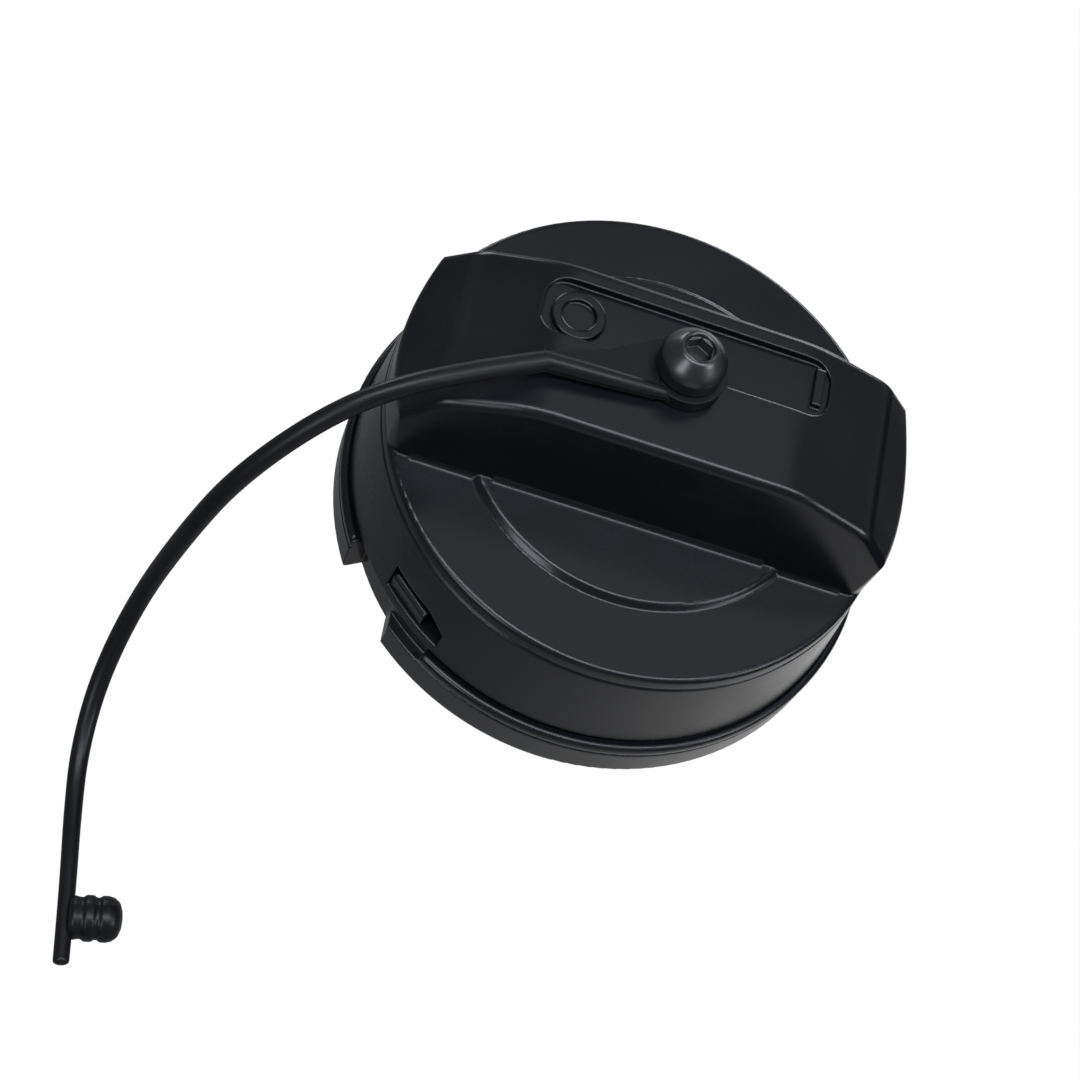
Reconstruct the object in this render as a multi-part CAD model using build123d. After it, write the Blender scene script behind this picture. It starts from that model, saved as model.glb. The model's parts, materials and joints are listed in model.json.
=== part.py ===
from build123d import *
import math
import os

# Fuel filler cap with a tether: a bar-handled grip over a ratchet drive, a closure plug with two
# bayonet lugs, and a pressure and vacuum valve in the plug. Millimetres. +Z is the cap's axis and
# points at the handle, X runs along the handle bar, and z = 0 is the plug's lower end.

# ---- Driving sizes: heights of the stack, from the plug's lower end up ----
spigot_depth = 22.0          # plug below the lower rim of the base ring
ring_height = 7.8            # visible band of the base ring
parting_gap = 0.7            # dark line between base ring and skirt
skirt_height = 17.5          # grip skirt, from its lower edge to the disc
bar_height = 17.0            # handle bar above the disc

ring_bottom = spigot_depth
ring_top = ring_bottom + ring_height
skirt_bottom = ring_top + parting_gap
disc_top = skirt_bottom + skirt_height
bar_top = disc_top + bar_height

# ---- Grip ----
disc_radius = 36.75          # edge of the round top
skirt_flare = 1.9
skirt_radius = disc_radius + skirt_flare    # lower edge of the flaring skirt
skirt_edge_round = 0.5
wall = 2.2                   # moulded wall of the grip
disc_edge_round = 0.8
step_inset = 11.05           # from the disc's edge to its raised middle
step_radius = disc_radius - step_inset
step_height = 0.9
step_top_round, step_foot_round = 0.7, 0.5
groove_depth = 0.45          # fine groove under the disc's edge
groove_height = 0.7
groove_drop = 1.9            # from the disc down to the groove

bar_width_share = 0.392      # of the disc's radius
bar_half_foot = disc_radius * bar_width_share   # half width of the bar where it leaves the disc
bar_half_top = bar_half_foot - 2.0              # half width of its top
bar_flat_half = disc_radius - 18.25         # half length of its level top
bar_shoulder_x = disc_radius - 6.95         # where the sloping top turns down
bar_top_round, bar_shoulder_round = 20.0, 6.0
bar_foot_round = 0.7         # where the bar meets the disc
bar_shoulder_drop = 3.9
bar_rim_drop = 11.5          # the bar's end is this far below its top at the rim
bar_edge_round = 1.4
bar_round_from = 4.0         # edges higher than this above the disc are rounded
bar_corner_round = 3.0       # upright corners at the bar's ends
bar_wall = 2.2

pocket_half_length = bar_flat_half + 1.9    # shallow recess in the far half of the bar's top
pocket_near_y = 0.6
pocket_far_y = 9.6
pocket_depth = 1.2
pocket_corner = 3.0
pad_radius = 6.3             # pad that carries the tether stud
lug_inset = 5.0
lug_radius = 3.7             # round moulded lug in the recess
lug_x, lug_y = lug_inset - pocket_half_length, pocket_near_y + lug_radius + 0.15
lug_dish_radius = 2.4
lug_dish_depth = 0.7
lug_stand = 0.9              # lug above the recess floor
rib_x = pocket_half_length - 1.7
rib_width, rib_stand = 1.3, 0.9
rib_near_y, rib_far_y = 2.6, 8.4

post_count = 6               # posts that drive the ratchet ring
post_start = 30.0            # direction of the first post, degrees
post_outer = disc_radius - wall - 1.35
post_depth = 4.9             # radial size of a post
post_width = 3.0
drum_wall = 2.0              # ring wall that ties the posts together

# ---- Base ring ----
ring_radius = skirt_radius + 1.2
ring_edge_round = 0.8
bead_height = 1.3            # rounded bead round the band's upper edge
bead_round = 0.6
bead_groove, bead_groove_height = 0.4, 0.5
bead_end = 238.0             # the bead starts again here after the gap, degrees
ring_wall = 3.2
collar_wall = 1.7            # collar that reaches up inside the skirt
collar_rise = 6.6            # collar above the band
collar_gap = 0.3             # between collar and skirt
web_thickness = 1.9          # web that holds the plug's flange up
snap_count = 3
snap_angle = 228.3           # direction of the first snap tab, degrees
snap_width = 7.2
snap_height = 2.9
snap_above_skirt = 2.5       # tab's lower face above the skirt's edge
snap_side_gap = 0.35
window_rise = 2.1            # window above the tab
window_reach = 3.4           # window beyond the tab's far end
notch_start, notch_end = 210.0, 224.0   # gap in the band, degrees
notch_ramp = 5.5             # degrees over which its far end slopes out
notch_depth = 3.0

# ---- Closure plug ----
flange_radius = disc_radius - 4.15
spigot_radius = flange_radius - 10.6
spigot_wall = 2.4
flange_thickness = 3.5
flange_gap = 0.3             # flange above the web
spigot_lead = 1.2            # chamfer at the spigot's mouth
lug_count = 2
bayonet_reach = 3.4          # bayonet lug beyond the spigot
bayonet_arc = 52.0           # degrees
bayonet_low, bayonet_height = 8.0, 4.2
bayonet_ramp = 1.6

# ---- Ratchet between grip and plug ----
tooth_count = 12
tooth_length = 6.0           # radial
tooth_height = 1.6
tooth_gap = 0.2              # axial clearance between the two rings of teeth
tooth_side_gap = 0.3         # degrees, at each drive face
key_gap = 0.3
tooth_outer = post_outer - post_depth - key_gap - 0.5
tooth_inner = tooth_outer - tooth_length
ratchet_inner = tooth_inner - 0.9
ratchet_outer = post_outer - 1.0
ratchet_thickness = 3.0
ratchet_wire = 1.4
ratchet_coil_radius = (tooth_inner + tooth_outer) / 2
ratchet_coils = 2.5

# ---- Seals and valves ----
gasket_outer = flange_radius - 3.0
gasket_lip_share = 0.21      # sloping share of the gasket's width on each side
gasket_thickness = 3.2
press_gap = 0.05             # between pieces that seat in each other
valve_base = 3.4             # lower face of the valve body
valve_height = 17.0
valve_wall = 1.6
valve_floor = 2.0
valve_port_radius = 7.6
seal_inner, seal_thickness = 6.2, 1.5
plate_radius = 11.4
plate_thickness = 1.4
plate_rim_height = 1.6
plate_rim_wall = 1.0
plate_play = 0.6              # plate to the valve body's bore
stem_radius = 1.2
stem_gap = 0.06
plate_port_radius = 0.9
plate_port_ring = 3.3
plate_port_count = 4
poppet_radius = 5.2
poppet_thickness = 1.1
poppet_gap = 0.15
stem_length = 7.4
clip_radius = 3.1
clip_thickness = 1.0
pressure_wire, pressure_coil_radius, pressure_coils = 1.0, 8.0, 4
vacuum_wire, vacuum_coil_radius, vacuum_coils = 0.45, 2.2, 4
retainer_thickness = 1.8
retainer_hole_radius = 2.0
retainer_holes = 5
retainer_hole_ring = 7.0
retainer_rim, retainer_rim_wall = 1.8, 1.4
cover_thickness = 1.6
cover_slots = 6
cover_slot_width = 2.6
cover_hub_radius = 3.0
spring_gap = 0.1             # coil to each of its seats

# ---- Tether ----
stud_head_radius = 3.1       # top of the stud's head
stud_flange_radius = 4.6     # foot of the head
stud_head_height = 4.9
stud_shank_radius = 1.7
stud_shank_length = 7.5
socket_across = 3.2          # hexagon, across flats
socket_depth = 2.2
bush_radius = 2.6
bush_seat_depth = 2.4        # how far the bush reaches into the bar's top
eye_radius = 5.4
eye_thickness = 1.9
eye_lift = 0.35              # eye above the bar
eye_play = 0.25              # eye below the stud's head
eye_bore_gap = 0.05
tab_end_x = -18.5
tab_socket_length = 3.2      # round socket at the tab's end
tab_width = 2.9              # of its narrow end
tab_flare_x, tab_flare_y = 6.0, 1.2         # how its far side widens towards the eye
strap_diameter = 2.8
strap_offset_y = -5.7        # strap's centre at the tab's end
knob_ridge_radius = 3.45
knob_neck_radius = 3.0
knob_length = 7.0
knob_tail = 2.7              # strap beyond the knob


def turned(points, rounds=()):
    """Solid of revolution about Z from (radius, height) points; rounds are (radius, height, fillet)."""
    face = make_face(Polyline(*points, close=True))
    for r, z, size in rounds:
        corner = face.vertices().sort_by_distance((r, z, 0))[0]
        face = fillet(corner, size)
    return revolve(Plane.XZ * face, axis=Axis.Z)


def tube(outer, inner, low, high):
    """Upright ring with flat ends."""
    return turned([(inner, low), (outer, low), (outer, high), (inner, high)])


def rod(radius, low, high):
    """Upright round bar."""
    return Pos(0, 0, (low + high) / 2) * Cylinder(radius, high - low)


def block(x0, x1, y0, y1, z0, z1):
    """Box between two corners."""
    return Pos((x0 + x1) / 2, (y0 + y1) / 2, (z0 + z1) / 2) * Box(x1 - x0, y1 - y0, z1 - z0)


def sector(reach, start, end, low, high):
    """Wedge of a disc from angle start to end, in degrees, with its point on the axis."""
    mid = (start + end) / 2
    half = math.radians((end - start) / 2)
    long = reach / math.cos(half)
    points = [(0, 0), (long * math.cos(half), -long * math.sin(half)),
              (long * math.cos(half), long * math.sin(half))]
    wedge = extrude(make_face(Polyline(*points, close=True)), high - low)
    return Pos(0, 0, low) * Rot(0, 0, mid) * wedge


def around(piece, count, start=0.0):
    """List of copies of a piece turned about Z at equal angles."""
    return [Rot(0, 0, start + i * 360 / count) * piece for i in range(count)]


def coil(radius, wire, turns, low, high):
    """Open coil spring about Z that fills the height between its two seats."""
    rise = high - low - wire
    path = Pos(0, 0, low + wire / 2) * Helix(rise / turns, rise, radius)
    section = Plane(origin=path @ 0, z_dir=path % 0) * Circle(wire / 2)
    return sweep(section, path=path, is_frenet=True)


def skirt_outer(z):
    """Radius of the skirt's outer face at height z."""
    return disc_radius + (skirt_radius - disc_radius) * (disc_top - z) / skirt_height


# ---- Grip ----
def bar_body(inset, top, foot):
    """Handle bar: drafted sides, a level top that slopes down at both ends, rounded upright corners.
    inset makes the hollow's core, top is its highest level and foot its lowest."""
    half_foot = bar_half_foot - inset
    half_top = bar_half_top - inset
    drop = (half_foot - half_top) / (bar_top - disc_top)
    low_half = half_foot + drop * (disc_top - foot)
    high_half = half_foot - drop * (top - disc_top)
    side = Polyline((-low_half, foot), (low_half, foot), (high_half, top), (-high_half, top), close=True)
    prism = extrude(Plane.YZ * make_face(side), disc_radius, both=True)
    lower = bar_top - top
    end = disc_radius - inset
    outline = Polyline(
        (-end, foot), (end, foot), (end, bar_top - bar_rim_drop - lower),
        (bar_shoulder_x - inset, bar_top - bar_shoulder_drop - lower),
        (bar_flat_half - inset / 2, top), (-bar_flat_half + inset / 2, top),
        (-bar_shoulder_x + inset, bar_top - bar_shoulder_drop - lower),
        (-end, bar_top - bar_rim_drop - lower), close=True)
    profile = make_face(outline)
    for x, z, size in ((bar_flat_half - inset / 2, top, bar_top_round),
                       (bar_shoulder_x - inset, bar_top - bar_shoulder_drop - lower, bar_shoulder_round)):
        for mirror_x in (-x, x):
            corner = profile.vertices().sort_by_distance((mirror_x, z, 0))[0]
            profile = fillet(corner, size)
    slab = extrude(Plane.XZ * profile, bar_half_foot * 2, both=True)
    plan = Circle(end) & Rectangle(end * 2, low_half * 2)
    plan = fillet(plan.vertices(), bar_corner_round)
    column = Pos(0, 0, foot) * extrude(plan, top - foot)
    return prism & slab & column


def bar_foot(low, half, reach):
    """Hollow-sided fillet strips along both feet of the bar, on the level low."""
    out, up = half + bar_foot_round, low + bar_foot_round
    mid = 0.3 * bar_foot_round
    face = make_face([
        Line((half - 1, low - 0.2), (out, low - 0.2)), Line((out, low - 0.2), (out, low)),
        ThreePointArc((out, low), (half + mid, low + mid), (half, up)),
        Line((half, up), (half - 1, up)), Line((half - 1, up), (half - 1, low - 0.2))])
    strip = extrude(Plane.YZ * face, math.sqrt(reach ** 2 - half ** 2), both=True)
    return strip + Rot(0, 0, 180) * strip


def make_grip():
    under = disc_top - wall
    inner_low = skirt_radius - wall
    inner_high = skirt_outer(under) - wall
    edge_low = disc_top - groove_drop
    shell = turned(
        [(0, under), (inner_high, under), (inner_low, skirt_bottom), (skirt_radius, skirt_bottom),
         (skirt_outer(edge_low - groove_height), edge_low - groove_height),
         (skirt_outer(edge_low) - groove_depth, edge_low - groove_height / 2),
         (skirt_outer(edge_low), edge_low), (disc_radius, disc_top),
         (step_radius + step_height, disc_top), (step_radius, disc_top + step_height),
         (0, disc_top + step_height)],
        [(disc_radius, disc_top, disc_edge_round), (skirt_radius, skirt_bottom, skirt_edge_round),
         (inner_high, under, 1.0), (step_radius, disc_top + step_height, step_top_round),
         (step_radius + step_height, disc_top, step_foot_round)])
    bar = bar_body(0, bar_top, disc_top - wall / 2)
    bar = fillet(bar.edges().filter_by(lambda e: e.center().Z > disc_top + bar_round_from), bar_edge_round)
    hollow = bar_body(bar_wall, bar_top - bar_wall, under - 1)
    drum = tube(post_outer, post_outer - drum_wall, ring_top + collar_rise, under + wall / 2)
    post_low = web_top() + flange_gap + flange_thickness + 0.7
    post = block(post_outer - post_depth, post_outer, -post_width / 2, post_width / 2,
                 post_low, under + wall / 2)
    body = shell + bar
    body = body + bar_foot(disc_top, bar_half_foot, disc_radius - 2.5)
    body = body + bar_foot(disc_top + step_height, bar_half_foot, step_radius - 1.5)
    body = body - hollow
    body = body + (drum - hollow) + around(post & rod(post_outer, 0, disc_top), post_count, post_start)
    # recess in the bar's top, with its pad, lug and rib
    floor = bar_top - pocket_depth
    pocket = RectangleRounded(2 * pocket_half_length, pocket_far_y - pocket_near_y, pocket_corner)
    pocket = Pos(0, (pocket_far_y + pocket_near_y) / 2, floor) * extrude(pocket, pocket_depth + 1)
    pad = rod(pad_radius, floor - 1, bar_top)
    body = body - (pocket - pad)
    lug = rod(lug_radius, floor - 0.5, floor + lug_stand) - rod(
        lug_dish_radius, floor + lug_stand - lug_dish_depth, floor + 2)
    body = body + Pos(lug_x, lug_y, 0) * lug
    body = body + block(rib_x - rib_width / 2, rib_x + rib_width / 2, rib_near_y, rib_far_y,
                        floor - 0.5, floor + rib_stand)
    # boss under the top that the stud and its bush sit in
    boss = rod(bush_radius + 2.4, bar_top - bar_wall - stud_shank_length + 1.5, bar_top - bar_wall / 2)
    body = body + boss
    body = body - rod(bush_radius, bar_top - bush_seat_depth, bar_top + 1)
    body = body - rod(stud_shank_radius, bar_top - stud_shank_length - 4, bar_top)
    # windows that the base ring's tabs snap into
    low = skirt_bottom + snap_above_skirt - snap_side_gap
    high = skirt_bottom + snap_above_skirt + snap_height + window_rise
    half = snap_width / 2 + snap_side_gap
    window = block(post_outer + collar_gap, skirt_radius + 1, -half, half + window_reach, low, high)
    window = chamfer(window.edges().filter_by(Axis.X).sort_by(
        lambda e: e.center().Y + e.center().Z)[-1:], window_rise, window_reach)
    return body - around(window, snap_count, snap_angle)


def web_top():
    return ring_bottom + web_thickness


# ---- Base ring ----
def make_base_ring():
    collar_outer = skirt_outer(skirt_bottom + collar_rise) - wall - collar_gap
    collar_inner = collar_outer - collar_wall
    shoulder = ring_top - 1.6
    groove_high = ring_top - bead_height
    groove_low = groove_high - bead_groove_height
    body = turned(
        [(flange_hole(), ring_bottom), (ring_radius, ring_bottom), (ring_radius, groove_low),
         (ring_radius - bead_groove, groove_low), (ring_radius - bead_groove, groove_high),
         (ring_radius, groove_high), (ring_radius, ring_top),
         (collar_outer + 0.6, ring_top), (collar_outer, ring_top + 0.6),
         (collar_outer, ring_top + collar_rise - 0.3), (collar_inner, ring_top + collar_rise - 0.3),
         (collar_inner, shoulder), (flange_radius + 0.5, shoulder - 1.2),
         (flange_radius + 0.5, web_top()), (flange_hole(), web_top())],
        [(ring_radius, ring_bottom, ring_edge_round), (ring_radius, ring_top, bead_round)])
    # snap tabs
    low = skirt_bottom + snap_above_skirt
    reach = skirt_outer(low + snap_height) - 0.15
    tab = block(collar_inner + collar_wall / 2, reach, -snap_width / 2, snap_width / 2, low, low + snap_height)
    tab = chamfer(tab.edges().group_by(Axis.Z)[-1].filter_by(Axis.Y).sort_by(Axis.X)[-1:], 0.5)
    body = body + around(tab, snap_count, snap_angle)
    # gap in the band, with one square end and one ramped end
    gap = sector(ring_radius + 2, notch_start, notch_end, ring_bottom - 1, ring_top + 0.001)
    gap = gap - rod(ring_radius - notch_depth, ring_bottom - 2, ring_top + 1)
    ramp = Rot(0, 0, notch_end) * ramp_wedge()
    # the bead stays away for a few degrees more
    bare = sector(ring_radius + 2, notch_end - 1, bead_end, groove_low, ring_top + 0.001)
    bare = bare - rod(skirt_radius - 0.6, ring_bottom, ring_top + 1)
    return body - gap - ramp - bare


def ramp_wedge():
    """Cutter that slopes from the floor of the gap out to the band over notch_ramp degrees."""
    deep = ring_radius - notch_depth
    far = math.radians(notch_ramp)
    points = [(deep, 0), (ring_radius + 2, -0.2), ((ring_radius + 0.6) * math.cos(far),
              (ring_radius + 0.6) * math.sin(far))]
    return Pos(0, 0, ring_bottom - 1) * extrude(make_face(Polyline(*points, close=True)), ring_height + 1.001)


def flange_hole():
    """Radius of the hole in the base ring's web."""
    return gasket_outer + 0.9


# ---- Closure plug ----
def flange_low():
    return web_top() + flange_gap


def flange_top():
    return flange_low() + flange_thickness


def tooth_fall():
    """Tangential half length of a tooth at its outer radius."""
    return tooth_outer * math.sin(math.pi / tooth_count)


def tooth_wedge(base, height, sign, start):
    """One ratchet tooth between two radii. sign +1 rises from base with a ramp that falls towards
    +theta; sign -1 hangs from start down to the same ramp line."""
    fall = tooth_fall()
    if sign > 0:
        outline = [(-fall, base - 0.5), (fall, base - 0.5), (fall, base), (-fall, base + height)]
        half = 180 / tooth_count
    else:
        outline = [(-fall, base + height), (fall, base), (fall, start), (-fall, start)]
        half = 180 / tooth_count - tooth_side_gap
    wedge = extrude(Plane.YZ * make_face(Polyline(*outline, close=True)), tooth_outer + 5)
    ring = tube(tooth_outer, tooth_inner, base - 1, start)
    return wedge & ring & sector(tooth_outer + 1, -half, half, base - 1, start)


def make_closure_plug():
    top = flange_top()
    inner = spigot_radius - spigot_wall
    body = turned(
        [(inner, 0), (spigot_radius - spigot_lead, 0), (spigot_radius, spigot_lead),
         (spigot_radius, flange_low()), (flange_radius, flange_low()), (flange_radius, top),
         (valve_port_radius, top), (valve_port_radius, top - 2.2), (inner, top - 2.2)],
        [(flange_radius, top, 0.5), (inner, top - 2.2, 1.0)])
    tooth = tooth_wedge(top, tooth_height, 1, top + tooth_height + 1)
    body = body + around(tooth, tooth_count)
    ear = sector(spigot_radius + bayonet_reach + 3, -bayonet_arc / 2, bayonet_arc / 2,
                 bayonet_low, bayonet_low + bayonet_height)
    ear = ear & tube(spigot_radius + bayonet_reach, spigot_radius - 1, bayonet_low,
                     bayonet_low + bayonet_height)
    slope = Plane.YZ * make_face(Polyline(
        (-ring_radius, bayonet_low + bayonet_height + 0.01), (0, bayonet_low + bayonet_height + 0.01),
        (-spigot_radius * math.sin(math.radians(bayonet_arc / 2)) - 2,
         bayonet_low + bayonet_height - bayonet_ramp), (-ring_radius, bayonet_low), close=True))
    ear = ear - extrude(slope, ring_radius)
    body = body + around(ear, lug_count, 90)
    return body


def make_ratchet_ring():
    crest = flange_top() + tooth_height + tooth_gap
    body = tube(ratchet_outer, ratchet_inner, crest, crest + ratchet_thickness)
    tooth = tooth_wedge(flange_top() + tooth_gap, tooth_height, -1, crest + 0.5)
    body = body + around(tooth, tooth_count)
    slot_half = post_width / 2 + key_gap
    slot = block(post_outer - post_depth - key_gap, ratchet_outer + 1, -slot_half, slot_half,
                 crest - 2, crest + ratchet_thickness + 1)
    return body - around(slot, post_count, post_start)


def ratchet_top():
    return flange_top() + tooth_height + tooth_gap + ratchet_thickness


def make_ratchet_spring():
    return coil(ratchet_coil_radius, ratchet_wire, ratchet_coils,
                ratchet_top() + spring_gap, disc_top - wall - spring_gap)


# ---- Seals and valves ----
def make_neck_gasket():
    low, high = flange_low() - gasket_thickness, flange_low()
    lip = 0.5
    slope = gasket_lip_share * (gasket_outer - spigot_radius)
    return turned(
        [(spigot_radius + press_gap, low + lip), (spigot_radius + slope, low),
         (gasket_outer - slope, low), (gasket_outer, low + lip),
         (gasket_outer, high), (spigot_radius + press_gap, high)])


def valve_outer():
    return spigot_radius - spigot_wall - press_gap


def valve_inner():
    """Bore of the valve body, clear of the plate that slides in it."""
    return plate_radius + plate_play


def make_valve_body():
    low, high = valve_base, valve_base + valve_height
    outer, inner = valve_outer(), valve_inner()
    return turned(
        [(valve_port_radius, low), (outer, low), (outer, low + 3.0), (inner + valve_wall, low + 4.2),
         (inner + valve_wall, high), (inner, high), (inner, low + valve_floor),
         (valve_port_radius, low + valve_floor)])


def seal_low():
    return valve_base + valve_floor


def plate_low():
    return seal_low() + seal_thickness


def plate_high():
    return plate_low() + plate_thickness


def make_valve_seal():
    return tube(plate_radius, seal_inner, seal_low(), plate_low())


def make_pressure_plate():
    low, high = plate_low(), plate_high()
    body = turned(
        [(stem_radius + stem_gap, low), (plate_radius, low), (plate_radius, high + plate_rim_height),
         (plate_radius - plate_rim_wall, high + plate_rim_height), (plate_radius - plate_rim_wall, high),
         (stem_radius + stem_gap, high)])
    port = Pos(plate_port_ring, 0, 0) * rod(plate_port_radius, low - 1, high + 1)
    return body - around(port, plate_port_count)


def make_vacuum_poppet():
    top = plate_low() - poppet_gap
    disc = rod(poppet_radius, top - poppet_thickness, top)
    stem = rod(stem_radius, top - 0.2, top + stem_length)
    groove = tube(stem_radius + 1, stem_radius - 0.4, clip_low(), clip_low() + clip_thickness + 0.1)
    return disc + stem - groove


def clip_low():
    return plate_low() - poppet_gap + stem_length - clip_thickness - 1.0


def make_stem_clip():
    return tube(clip_radius, stem_radius - 0.4 + press_gap, clip_low(), clip_low() + clip_thickness)


def make_vacuum_spring():
    return coil(vacuum_coil_radius, vacuum_wire, vacuum_coils,
                plate_high() + spring_gap, clip_low() - spring_gap)


def retainer_low():
    return valve_base + valve_height


def make_spring_retainer():
    """Holed lid on the valve body, with a rim that locates it and a spring under it."""
    low, high = retainer_low(), retainer_low() + retainer_thickness
    plate = rod(valve_inner() + valve_wall, low, high)
    rim = tube(valve_inner() - press_gap, valve_inner() - retainer_rim_wall, low - retainer_rim, low + 0.5)
    hole = Pos(retainer_hole_ring, 0, 0) * rod(retainer_hole_radius, low - 3, high + 1)
    return plate + rim - around(hole, retainer_holes)


def make_pressure_spring():
    return coil(pressure_coil_radius, pressure_wire, pressure_coils,
                plate_high() + spring_gap, retainer_low() - spring_gap)


def make_valve_cover():
    """Slotted disc that closes the plug's mouth."""
    low, high = spigot_lead, spigot_lead + cover_thickness
    outer = valve_outer()
    slot = extrude(Pos(outer * 0.58, 0) * SlotOverall(outer * 0.55, cover_slot_width), cover_thickness + 2)
    hub = rod(cover_hub_radius, low - 0.6, high)
    return rod(outer, low, high) + hub - around(Pos(0, 0, low - 1) * slot, cover_slots)


# ---- Tether ----
def eye_low():
    return bar_top + eye_lift


def eye_high():
    return eye_low() + eye_thickness


def head_low():
    return eye_high() + eye_play


def make_stud_bush():
    """Shouldered sleeve that keeps the stud's head off the eye, so that the tether turns."""
    return tube(bush_radius - press_gap, stud_shank_radius + press_gap,
                bar_top - bush_seat_depth, head_low())


def make_tether_stud():
    low = head_low()
    head = turned(
        [(0, low), (stud_flange_radius, low), (stud_flange_radius, low + 1.2),
         (stud_head_radius, low + stud_head_height), (0, low + stud_head_height)],
        [(stud_flange_radius, low + 1.2, 1.5), (stud_head_radius, low + stud_head_height, 0.6)])
    dish = Pos(0, 0, low + stud_head_height + 0.01) * Cone(1.2, 2.3, 0.7, align=(Align.CENTER, Align.CENTER, Align.MAX))
    hexagon = RegularPolygon(socket_across / 2, 6, major_radius=False)
    socket = Pos(0, 0, low + stud_head_height - socket_depth) * extrude(hexagon, socket_depth + 1)
    shank = rod(stud_shank_radius - 0.02, bar_top - stud_shank_length, low + 0.5)
    return head + shank - dish - socket


def make_tether_eye():
    """Tapered tab with the eye that turns on the bush, and the round socket that the strap leaves."""
    low = eye_low()
    half = strap_diameter / 2
    hole = bush_radius + eye_bore_gap
    socket = Plane(origin=strap_points[0], z_dir=Vector(strap_points[1]) - Vector(strap_points[0]))
    end = tab_end_x + tab_socket_length * 0.45
    near = -eye_radius
    outline = Polyline(
        (0, near), (end, near), (end, near + tab_width),
        (end + tab_flare_x, near + tab_width + tab_flare_y),
        (-eye_radius * 0.72, eye_radius * 0.72), (0, 0), close=True)
    plan = make_face(outline) + Circle(eye_radius)
    body = Pos(0, 0, low) * extrude(plan, eye_thickness)
    sleeve = socket * Cylinder(half + 0.3, tab_socket_length, align=(Align.CENTER, Align.CENTER, Align.MAX))
    return body + sleeve - rod(hole, low - 1, low + eye_thickness + 1)


def strap_start_z():
    return eye_low() + strap_diameter / 2 + 0.1


# Route of the strap's centre: out of the tab, over the end of the bar, and down to the surface that
# the cap stands on, where it ends just past the knob.
strap_points = [
    (tab_end_x, strap_offset_y, strap_start_z()),
    (-25.1, -9.1, 66.5),
    (-35.8, -15.9, 66.5),
    (-43.8, -21.2, 62.1),
    (-51.8, -26.9, 51.2),
    (-56.3, -30.2, 37.8),
    (-60.4, -32.9, 20.0),
    (-62.7, -40.7, 7.7),
    (-62.4, -50.3, 2.3),
    (-60.3, -60.0, 1.6),
    (-57.7, -70.3, 3.8),
    (-55.3, -80.8, 4.3),
]


def corner_radii(points):
    """Largest tangent arc at each corner: 0.45 of the shorter run over the tangent of half the turn."""
    radii = []
    for before, here, after in zip(points, points[1:], points[2:]):
        run_in, run_out = Vector(here) - Vector(before), Vector(after) - Vector(here)
        half_turn = math.radians(run_in.get_angle(run_out)) / 2
        radii.append(0.45 * min(run_in.length, run_out.length) / math.tan(half_turn))
    return radii


def strap_path():
    return FilletPolyline(*strap_points, radius=corner_radii(strap_points))


def make_tether_strap():
    path = strap_path()
    section = Plane(origin=path @ 0, z_dir=path % 0) * Circle(strap_diameter / 2)
    return sweep(section, path=path)


def knob_frame():
    """Plane at the knob's foot: its z runs out along the knob, square to the strap and level."""
    last, before = Vector(strap_points[-1]), Vector(strap_points[-2])
    back = (before - last).normalized()
    middle = last + back * (knob_tail + knob_ridge_radius)
    out = Vector(0, 0, 1).cross(Vector(-back.X, -back.Y, 0)).normalized()
    foot = middle + out * (strap_diameter / 2 - 0.25)
    return Plane(origin=foot, z_dir=out)


def make_tether_knob():
    """Snap knob: a neck, two ridges and a domed head, turned about its own axis."""
    ridge, neck, long = knob_ridge_radius, knob_neck_radius, knob_length
    face = make_face(Polyline(
        (0, 0), (neck + 0.5, 0), (neck, 0.9), (neck, 1.3), (ridge, 1.5), (ridge, 2.7), (neck + 0.5, 3.0),
        (neck + 0.5, 3.5), (ridge, 3.7), (ridge, 4.9), (ridge * 0.72, long - 0.6), (0, long), close=True))
    for r, z, size in ((ridge, 1.5, 0.4), (ridge, 2.7, 0.4), (ridge, 3.7, 0.4), (ridge, 4.9, 1.2),
                       (ridge * 0.72, long - 0.6, 0.9)):
        face = fillet(face.vertices().sort_by_distance((r, z, 0))[0], size)
    return knob_frame() * revolve(Plane.XZ * face, axis=Axis.Z) - make_tether_strap()


makers = {
    "grip": make_grip,
    "base_ring": make_base_ring,
    "ratchet_ring": make_ratchet_ring,
    "ratchet_spring": make_ratchet_spring,
    "closure_plug": make_closure_plug,
    "neck_gasket": make_neck_gasket,
    "valve_body": make_valve_body,
    "valve_seal": make_valve_seal,
    "pressure_plate": make_pressure_plate,
    "pressure_spring": make_pressure_spring,
    "spring_retainer": make_spring_retainer,
    "vacuum_poppet": make_vacuum_poppet,
    "vacuum_spring": make_vacuum_spring,
    "stem_clip": make_stem_clip,
    "valve_cover": make_valve_cover,
    "stud_bush": make_stud_bush,
    "tether_stud": make_tether_stud,
    "tether_eye": make_tether_eye,
    "tether_strap": make_tether_strap,
    "tether_knob": make_tether_knob,
}

os.makedirs("parts", exist_ok=True)
solids = {name: make() for name, make in makers.items()}
for name, solid in solids.items():
    export_step(solid, f"parts/{name}.step")

strap_section = math.pi * strap_diameter ** 2 / 4
strap_share = solids["tether_strap"].volume / (strap_section * strap_path().length)
print("strap arcs, mm:", [round(r, 1) for r in corner_radii(strap_points)])
print("strap length, mm:", round(strap_path().length, 1), "volume over section times length:",
      round(strap_share, 4))
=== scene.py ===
# %% [markdown]
# A fuel filler cap, dressed in Blender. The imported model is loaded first, as a frame that never
# moves. Every piece made later sits where this frame says, in metres, with +Z along the cap's
# axis and the cap standing on the floor at z = 0.

# %% Load the frame
import bpy
import json
import math
from mathutils import Matrix, Vector


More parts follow.
